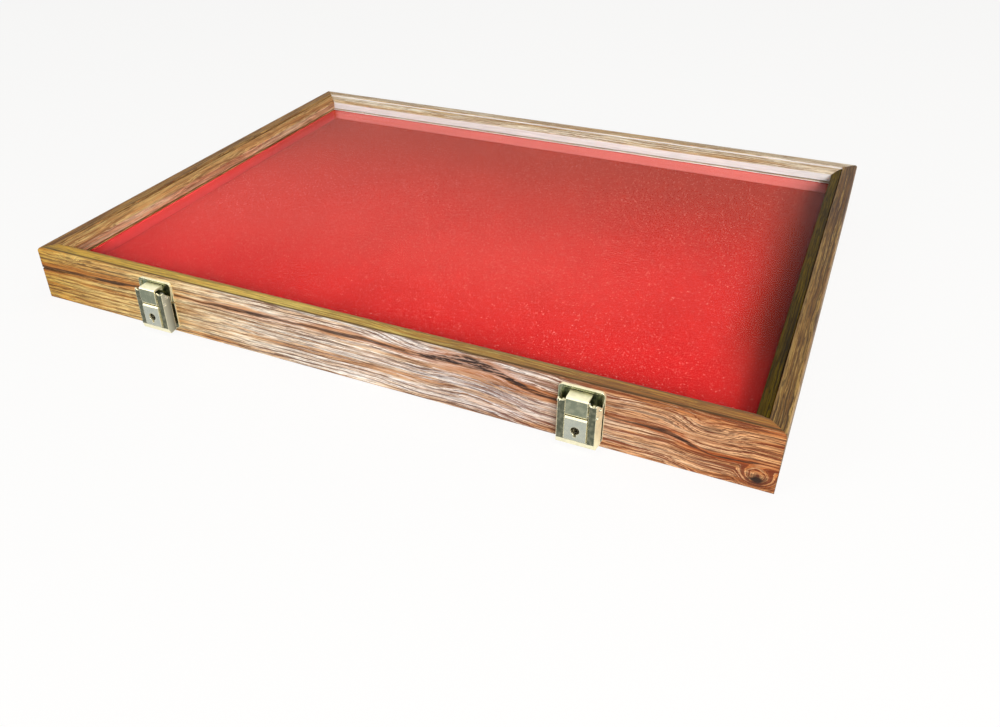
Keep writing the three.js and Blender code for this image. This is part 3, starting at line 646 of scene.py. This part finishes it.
def velvet_pad(cloth):
    """A crowned cushion with rounded edges, a little rippled."""
    low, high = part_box("velvet_cover")
    half = ((high.x - low.x) / 2, (high.y - low.y) / 2)
    crown = high.z - VELVET_SINK
    edge = crown - PAD_CROWN

    def top(x, y):
        across, along = abs(x / half[0]), abs(y / half[1])
        height = edge + (crown - edge) * (1 - across**4) * (1 - along**4)
        for rest in (half[0] - abs(x), half[1] - abs(y)):
            if rest < PAD_EDGE:
                lean = 1 - rest / PAD_EDGE
                height -= PAD_EDGE * (1 - math.sqrt(max(0.0, 1 - lean * lean)))
        wide = noise.noise(Vector((x * WIDE_RIPPLES, y * WIDE_RIPPLES, 3.1)))
        narrow = noise.noise(Vector((x * NARROW_RIPPLES, y * NARROW_RIPPLES, 1.7)))
        return height - PAD_RIPPLE * (1 + wide + 0.5 * narrow)

    def stations(count, reach):
        """Even steps along the top, with closer ones where the edge turns down."""
        even = [reach * (2 * i / count - 1) for i in range(count + 1)]
        turns = [math.pi / 2 * k / PAD_EDGE_STEPS for k in range(PAD_EDGE_STEPS)]
        rim = [reach - PAD_EDGE * (1 - math.cos(turn)) for turn in turns]
        kept = [value for value in even if abs(value) < reach - PAD_EDGE]
        return sorted(kept + rim + [-value for value in rim])

    xs, ys = stations(PAD_COLUMNS, half[0]), stations(PAD_ROWS, half[1])
    columns, rows = len(xs), len(ys)
    points = [(x, y, top(x, y)) for y in ys for x in xs]
    faces = [
        (j * columns + i, j * columns + i + 1, (j + 1) * columns + i + 1, (j + 1) * columns + i)
        for j in range(rows - 1)
        for i in range(columns - 1)
    ]
    rim = list(range(columns))
    rim += [j * columns + columns - 1 for j in range(1, rows)]
    rim += [(rows - 1) * columns + i for i in range(columns - 2, -1, -1)]
    rim += [j * columns for j in range(rows - 2, 0, -1)]
    first, count = len(points), len(rim)
    points += [(points[i][0], points[i][1], PAD_FOOT) for i in rim]
    for k in range(count):
        after = (k + 1) % count
        faces.append((rim[k], first + k, first + after, rim[after]))
    faces.append(tuple(first + k for k in range(count)))
    pad = smooth_piece("velvet_pad", points, faces, cloth)
    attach(pad, "tray")
    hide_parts("velvet_cover", "foam_pad")


def velvet_liner(cloth):
    """The velvet round the tray's walls: four mitred strips with a folded, rounded top."""
    low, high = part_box("front_liner")
    thick = high.y - low.y
    fold = high.z - thick
    outline = [(0, low.z), (thick, low.z)]
    outline += [(thick, low.z + (fold - low.z) * row / LINER_ROWS) for row in range(1, LINER_ROWS)]
    turns = [math.pi / 2 * step / LINER_TURNS for step in range(LINER_TURNS + 1)]
    outline += [(thick * math.cos(turn), fold + thick * math.sin(turn)) for turn in turns]
    half = (-low.x, -low.y)
    corners = [Vector(corner) for corner in ((-1, -1), (1, -1), (1, 1), (-1, 1))]
    points = []
    for here, there in zip(corners, corners[1:] + corners[:1]):
        for step in range(LINER_STEPS):
            station = here.lerp(there, step / LINER_STEPS)
            for inward, height in outline:
                x, y = station.x * (half[0] - inward), station.y * (half[1] - inward)
                place = (x * LINER_RIPPLES, y * LINER_RIPPLES, height * LINER_RIPPLES_UP)
                ripple = LINER_RIPPLE * noise.noise(Vector(place))
                sink = (VELVET_SINK + ripple) * (height > low.z)
                points.append((x * (1 - ripple * 5), y * (1 - ripple * 5), height - sink))
    size, count = len(outline), 4 * LINER_STEPS
    faces = []
    for k in range(count):
        here, there = k * size, (k + 1) % count * size
        for i in range(size):
            after = (i + 1) % size
            faces.append((here + i, there + i, there + after, here + after))
    liner = smooth_piece("velvet_liner", points, faces, cloth)
    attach(liner, "tray")
    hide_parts("front_liner", "right_liner", "back_liner", "left_liner")


cloth = velvet()
velvet_pad(cloth)
velvet_liner(cloth)


def camera():
    """The photograph's camera, fitted to the case's corners."""
    azimuth, down, roll = (math.radians(CAMERA_AIM[key]) for key in ("azimuth", "down", "roll"))
    level = Vector((math.sin(azimuth), math.cos(azimuth), 0))
    forward = math.cos(down) * level - Vector((0, 0, math.sin(down)))
    right = forward.cross(Vector((0, 0, 1))).normalized()
    up = right.cross(forward)
    side = math.cos(roll) * right + math.sin(roll) * up
    top = math.cos(roll) * up - math.sin(roll) * right
    data = bpy.data.cameras.new("camera")
    data.sensor_fit = "HORIZONTAL"
    data.sensor_width = SENSOR_WIDTH
    data.lens = FOCAL_PIXELS * SENSOR_WIDTH / IMAGE[0]
    data.shift_x = (IMAGE[0] / 2 - IMAGE_CENTRE[0]) / IMAGE[0]
    data.shift_y = (IMAGE_CENTRE[1] - IMAGE[1] / 2) / IMAGE[0]
    data.clip_start, data.clip_end = 0.01, 50
    made = bpy.data.objects.new("camera", data)
    axes = Matrix((side, top, -forward)).transposed().to_4x4()
    made.matrix_world = Matrix.Translation(CAMERA_AT) @ axes
    bpy.context.scene.collection.objects.link(made)
    bpy.context.scene.camera = made


# How far the floor reaches each way, and how bright it looks where no shadow falls on it
FLOOR_REACH = 6
FLOOR_GLOW = 0.85
# Each lamp's place, size, power and colour. All aim at the middle of the case.
LAMPS = {
    "key": ((0.85, -1.30, 0.75), 0.55, 25.0, (1.0, 0.975, 0.965)),
    "fill": ((-0.9, -1.3, 0.7), 0.9, 6.0, (1.0, 0.97, 0.96)),
    "top": ((0.3, 0.4, 1.5), 1.0, 3.0, (1.0, 0.94, 0.78)),
}
# The light that the surroundings cast on the case
AMBIENT, AMBIENT_STRENGTH = (1.0, 0.95, 0.82), 0.24


def pale_floor():
    """A pale ground: it takes the shadows, and the camera sees it nearly white."""
    g = new_material("floor")
    clouds = g.noise(g.place(), (3, 3, 3), detail=2)
    colour = g.ramp(clouds, (0.3, (0.76, 0.77, 0.78)), (0.7, (0.79, 0.80, 0.81)))
    diffuse = g.node("BsdfDiffuse", Color=colour)
    shaded = g.node("BsdfDiffuse", Color=(1 - FLOOR_GLOW,) * 3)
    glow = g.node("Emission", Color=(1.0, 1.0, 1.0), Strength=FLOOR_GLOW)
    both = g.node("AddShader", i0=shaded.outputs[0], i1=glow.outputs[0])
    g.show(g.node("MixShader", Fac=g.seen_directly(), i1=diffuse.outputs[0], i2=both.outputs[0]))
    return g.owner


def studio():
    """A plain floor and three soft lamps."""
    signs = ((-1, -1), (1, -1), (1, 1), (-1, 1))
    mesh = bpy.data.meshes.new("floor")
    mesh.from_pydata([(x * FLOOR_REACH, y * FLOOR_REACH, 0) for x, y in signs], [], [(0, 1, 2, 3)])
    mesh.materials.append(pale_floor())
    floor = bpy.data.objects.new("floor", mesh)
    bpy.context.scene.collection.objects.link(floor)
    for name, (place, size, power, colour) in LAMPS.items():
        data = bpy.data.lights.new(name, "AREA")
        data.shape = "SQUARE"
        data.size = size
        data.energy = power
        data.color = colour
        lamp = bpy.data.objects.new(name, data)
        aim = (-Vector(place)).to_track_quat("-Z", "Y").to_matrix().to_4x4()
        lamp.matrix_world = Matrix.Translation(place) @ aim
        bpy.context.scene.collection.objects.link(lamp)


def surroundings():
    """A dim warm light on the object, and white wherever the camera or a reflection looks."""
    world = bpy.data.worlds.new("surroundings")
    bpy.context.scene.world = world
    g = Graph(world, "OutputWorld")
    light = g.node("Background", Color=AMBIENT, Strength=AMBIENT_STRENGTH)
    white = g.node("Background", Color=(1, 1, 1), Strength=1)
    g.show(g.node("MixShader", Fac=g.seen_directly(), i1=light.outputs[0], i2=white.outputs[0]))


camera()
studio()
surroundings()
bpy.context.scene.view_settings.view_transform = "Standard"
